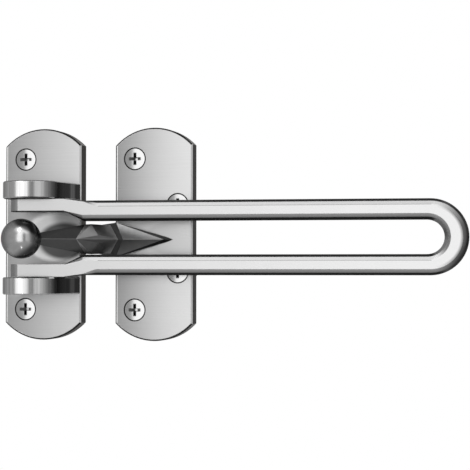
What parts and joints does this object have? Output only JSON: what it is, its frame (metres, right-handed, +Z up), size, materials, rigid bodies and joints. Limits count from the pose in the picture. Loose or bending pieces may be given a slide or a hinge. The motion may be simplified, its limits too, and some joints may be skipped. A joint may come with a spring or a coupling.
{
  "type": "swing bar door guard",
  "caption": "Swing bar door guard: a hinged U-shaped bar drops over the ball of a faceted keeper, so that a door opens only a crack.",
  "frame": {"origin": "centre of the hinge plate's back face, where it meets the door frame", "axes": "+X along the bar from the hinge plate to the keeper, +Y into the door and its frame, +Z up"},
  "size_m": [0.1644, 0.0577, 0.075],
  "materials": {
    "satin_nickel": "satin brushed nickel plating on the hinge plate casting",
    "keeper_nickel": "satin plate, polished horn and ball",
    "bar_nickel": "satin brushed nickel plating, brightest on the flat front",
    "pin_steel": "plain ground steel",
    "screw_nickel": "plated wood screw"
  },
  "bodies": {
    "fixed_parts": {"hinge_plate": "satin_nickel", "keeper": "keeper_nickel", "hinge_pin_upper": "pin_steel", "hinge_pin_lower": "pin_steel", "hinge_screw_upper": "screw_nickel", "hinge_screw_lower": "screw_nickel", "keeper_screw_outer_upper": "screw_nickel", "keeper_screw_outer_lower": "screw_nickel", "keeper_screw_inner_upper": "screw_nickel", "keeper_screw_inner_lower": "screw_nickel"},
    "bar": {"swing_bar": "bar_nickel"}
  },
  "joints": [
    {"name": "bar_swing", "type": "hinge", "parent": "fixed_parts", "child": "bar", "pos_m": [0.0016, -0.0192, 0], "axis": [0, 0, -1], "range_deg": [0, 192]}
  ]
}
